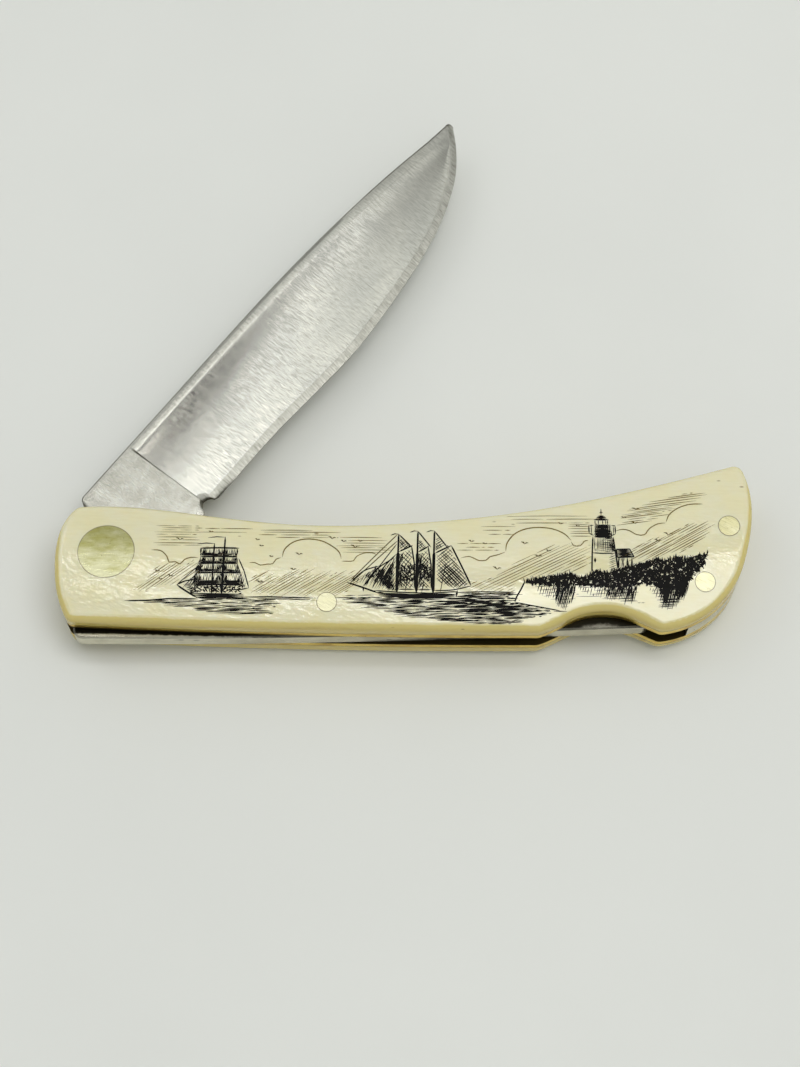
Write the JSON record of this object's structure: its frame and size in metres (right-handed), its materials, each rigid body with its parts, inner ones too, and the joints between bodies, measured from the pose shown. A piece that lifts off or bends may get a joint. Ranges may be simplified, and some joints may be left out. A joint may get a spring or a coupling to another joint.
{
  "type": "folding whittling knife",
  "caption": "Folding pocket knife for whittling, with a hollow-ground clip blade, bone scales on brass liners and a rocker lock along the back.",
  "frame": {"origin": "on the blade pivot's axis, at the lowest face of the rear scale, which the knife lies on", "axes": "+X along the straight back of the handle to the butt, +Y to the side the blade folds into, +Z out of the engraved front scale along the pivot axis"},
  "size_m": [0.1144, 0.1014, 0.0127],
  "materials": {
    "bone": "polished cream bone with black ink-filled engraving",
    "liner_brass": "satin brass edge",
    "pin_brass": "polished flush with the scale",
    "blade_steel": "ground across the blade",
    "lock_steel": "satin with fine scratches"
  },
  "bodies": {
    "handle": {"front_scale": "bone", "rear_scale": "bone", "front_liner": "liner_brass", "rear_liner": "liner_brass", "pivot_pin": "pin_brass", "front_pivot_collar": "pin_brass", "rear_pivot_collar": "pin_brass", "lock_bar_pin": "pin_brass", "upper_butt_pin": "pin_brass", "lower_butt_pin": "pin_brass", "butt_spacer": "lock_steel", "lock_spring": "lock_steel"},
    "blade": {"blade": "blade_steel"},
    "lock_bar": {"lock_bar": "lock_steel"}
  },
  "joints": [
    {"name": "blade_pivot", "type": "hinge", "parent": "handle", "child": "blade", "pos_m": [0, 0, 0.00635], "axis": [0, 0, 1], "range_deg": [-49.5, 126]},
    {"name": "lock_bar_press", "type": "hinge", "parent": "handle", "child": "lock_bar", "pos_m": [0.0363, -0.008, 0.00635], "axis": [0, 0, 1], "range_deg": [0, 1.6], "stiffness_Nm_per_rad": 2, "springref_deg": -5.73, "deforming": ["lock_spring"]}
  ]
}
